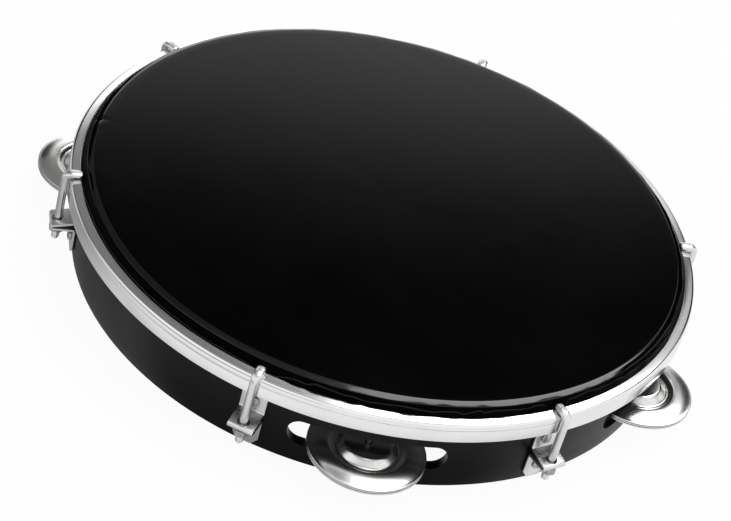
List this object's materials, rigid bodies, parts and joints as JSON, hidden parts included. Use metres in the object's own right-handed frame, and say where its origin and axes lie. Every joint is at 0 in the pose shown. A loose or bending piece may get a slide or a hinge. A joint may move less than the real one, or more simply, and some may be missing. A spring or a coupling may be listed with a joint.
{
  "type": "pandeiro",
  "caption": "Hand frame drum: a shallow black shell with jingles in wall slots and a black head held by a chromed hoop, hooks, nuts and folded brackets.",
  "frame": {"origin": "centre of the head's playing face", "axes": "+Z out of the playing face along the drum's axis; +X and +Y in the plane of the head"},
  "size_m": [0.3485, 0.3429, 0.0499],
  "materials": {
    "shell_plastic": "black, satin moulded",
    "head_fabric": "black, coated, smooth with a soft sheen",
    "wire_steel": "drawn wire",
    "hoop_chrome": "chrome plated, polished",
    "hook_steel": "bright plated steel",
    "fastener_steel": "plain plated",
    "jingle_nickel": "nickel plated, pressed"
  },
  "bodies": {
    "drum": {"shell": "shell_plastic", "head": "head_fabric", "flesh_hoop": "wire_steel", "bracket_1": "hook_steel", "bracket_2": "hook_steel", "bracket_3": "hook_steel", "bracket_4": "hook_steel", "bracket_5": "hook_steel", "bracket_6": "hook_steel", "bracket_screw_1": "hook_steel", "bracket_screw_2": "hook_steel", "bracket_screw_3": "hook_steel", "bracket_screw_4": "hook_steel", "bracket_screw_5": "hook_steel", "bracket_screw_6": "hook_steel", "bracket_rivet_1": "fastener_steel", "bracket_rivet_2": "fastener_steel", "bracket_rivet_3": "fastener_steel", "bracket_rivet_4": "fastener_steel", "bracket_rivet_5": "fastener_steel", "bracket_rivet_6": "fastener_steel", "screw_nut_1": "fastener_steel", "screw_nut_2": "fastener_steel", "screw_nut_3": "fastener_steel", "screw_nut_4": "fastener_steel", "screw_nut_5": "fastener_steel", "screw_nut_6": "fastener_steel", "jingle_pin_1": "fastener_steel", "jingle_pin_2": "fastener_steel", "jingle_pin_3": "fastener_steel", "jingle_pin_4": "fastener_steel", "jingle_pin_5": "fastener_steel"},
    "hoop": {"tension_hoop": "hoop_chrome", "hook_1": "hook_steel", "hook_2": "hook_steel", "hook_3": "hook_steel", "hook_4": "hook_steel", "hook_5": "hook_steel", "hook_6": "hook_steel"},
    "nut_1": {"tension_nut_1": "hook_steel"},
    "nut_2": {"tension_nut_2": "hook_steel"},
    "nut_3": {"tension_nut_3": "hook_steel"},
    "nut_4": {"tension_nut_4": "hook_steel"},
    "nut_5": {"tension_nut_5": "hook_steel"},
    "nut_6": {"tension_nut_6": "hook_steel"},
    "lower_cup_1": {"jingle_lower_1": "jingle_nickel"},
    "middle_disc_1": {"jingle_disc_1": "jingle_nickel"},
    "upper_cup_1": {"jingle_upper_1": "jingle_nickel"},
    "lower_cup_2": {"jingle_lower_2": "jingle_nickel"},
    "middle_disc_2": {"jingle_disc_2": "jingle_nickel"},
    "upper_cup_2": {"jingle_upper_2": "jingle_nickel"},
    "lower_cup_3": {"jingle_lower_3": "jingle_nickel"},
    "middle_disc_3": {"jingle_disc_3": "jingle_nickel"},
    "upper_cup_3": {"jingle_upper_3": "jingle_nickel"},
    "lower_cup_4": {"jingle_lower_4": "jingle_nickel"},
    "middle_disc_4": {"jingle_disc_4": "jingle_nickel"},
    "upper_cup_4": {"jingle_upper_4": "jingle_nickel"},
    "lower_cup_5": {"jingle_lower_5": "jingle_nickel"},
    "middle_disc_5": {"jingle_disc_5": "jingle_nickel"},
    "upper_cup_5": {"jingle_upper_5": "jingle_nickel"}
  },
  "joints": [
    {"name": "hoop_lift", "type": "slide", "parent": "drum", "child": "hoop", "axis": [0, 0, 1], "range_m": [0, 0.003]},
    {"name": "nut_1_turn", "type": "hinge", "parent": "drum", "child": "nut_1", "pos_m": [0.10497, -0.12378, -0.0359], "axis": [0, 0, 1], "range_deg": [-1543, 0]},
    {"name": "nut_2_turn", "type": "hinge", "parent": "drum", "child": "nut_2", "pos_m": [0.15782, 0.03789, -0.0359], "axis": [0, 0, 1], "range_deg": [-1543, 0]},
    {"name": "nut_3_turn", "type": "hinge", "parent": "drum", "child": "nut_3", "pos_m": [0.02958, 0.15958, -0.0359], "axis": [0, 0, 1], "range_deg": [-1543, 0]},
    {"name": "nut_4_turn", "type": "hinge", "parent": "drum", "child": "nut_4", "pos_m": [-0.13764, 0.08601, -0.0359], "axis": [0, 0, 1], "range_deg": [-1543, 0]},
    {"name": "nut_5_turn", "type": "hinge", "parent": "drum", "child": "nut_5", "pos_m": [-0.15391, -0.0515, -0.0359], "axis": [0, 0, 1], "range_deg": [-1543, 0]},
    {"name": "nut_6_turn", "type": "hinge", "parent": "drum", "child": "nut_6", "pos_m": [-0.03596, -0.15827, -0.0359], "axis": [0, 0, 1], "range_deg": [-1543, 0]},
    {"name": "jingle_1_lift", "type": "slide", "parent": "drum", "child": "lower_cup_1", "axis": [0, 0, 1], "range_m": [0, 0.0018]},
    {"name": "jingle_1_spin", "type": "hinge", "parent": "lower_cup_1", "child": "middle_disc_1", "pos_m": [0.02088, -0.14854, -0.0346], "axis": [0, 0, 1], "continuous": true},
    {"name": "jingle_1_open", "type": "slide", "parent": "middle_disc_1", "child": "upper_cup_1", "axis": [0, 0, 1], "range_m": [0, 0.0018]},
    {"name": "jingle_2_lift", "type": "slide", "parent": "drum", "child": "lower_cup_2", "axis": [0, 0, 1], "range_m": [0, 0.0018]},
    {"name": "jingle_2_spin", "type": "hinge", "parent": "lower_cup_2", "child": "middle_disc_2", "pos_m": [0.14174, -0.04908, -0.0346], "axis": [0, 0, 1], "continuous": true},
    {"name": "jingle_2_open", "type": "slide", "parent": "middle_disc_2", "child": "upper_cup_2", "axis": [0, 0, 1], "range_m": [0, 0.0018]},
    {"name": "jingle_3_lift", "type": "slide", "parent": "drum", "child": "lower_cup_3", "axis": [0, 0, 1], "range_m": [0, 0.0018]},
    {"name": "jingle_3_spin", "type": "hinge", "parent": "lower_cup_3", "child": "middle_disc_3", "pos_m": [0.10211, 0.10988, -0.0346], "axis": [0, 0, 1], "continuous": true},
    {"name": "jingle_3_open", "type": "slide", "parent": "middle_disc_3", "child": "upper_cup_3", "axis": [0, 0, 1], "range_m": [0, 0.0018]},
    {"name": "jingle_4_lift", "type": "slide", "parent": "drum", "child": "lower_cup_4", "axis": [0, 0, 1], "range_m": [0, 0.0018]},
    {"name": "jingle_4_spin", "type": "hinge", "parent": "lower_cup_4", "child": "middle_disc_4", "pos_m": [-0.05909, 0.13787, -0.0346], "axis": [0, 0, 1], "continuous": true},
    {"name": "jingle_4_open", "type": "slide", "parent": "middle_disc_4", "child": "upper_cup_4", "axis": [0, 0, 1], "range_m": [0, 0.0018]},
    {"name": "jingle_5_lift", "type": "slide", "parent": "drum", "child": "lower_cup_5", "axis": [0, 0, 1], "range_m": [0, 0.0018]},
    {"name": "jingle_5_spin", "type": "hinge", "parent": "lower_cup_5", "child": "middle_disc_5", "pos_m": [-0.14999, 0.00157, -0.0346], "axis": [0, 0, 1], "continuous": true},
    {"name": "jingle_5_open", "type": "slide", "parent": "middle_disc_5", "child": "upper_cup_5", "axis": [0, 0, 1], "range_m": [0, 0.0018]}
  ],
  "couplings": [
    {"joint": "nut_1_turn", "follows": "hoop_lift", "rad_per_m": -8976},
    {"joint": "nut_2_turn", "follows": "hoop_lift", "rad_per_m": -8976},
    {"joint": "nut_3_turn", "follows": "hoop_lift", "rad_per_m": -8976},
    {"joint": "nut_4_turn", "follows": "hoop_lift", "rad_per_m": -8976},
    {"joint": "nut_5_turn", "follows": "hoop_lift", "rad_per_m": -8976},
    {"joint": "nut_6_turn", "follows": "hoop_lift", "rad_per_m": -8976}
  ]
}
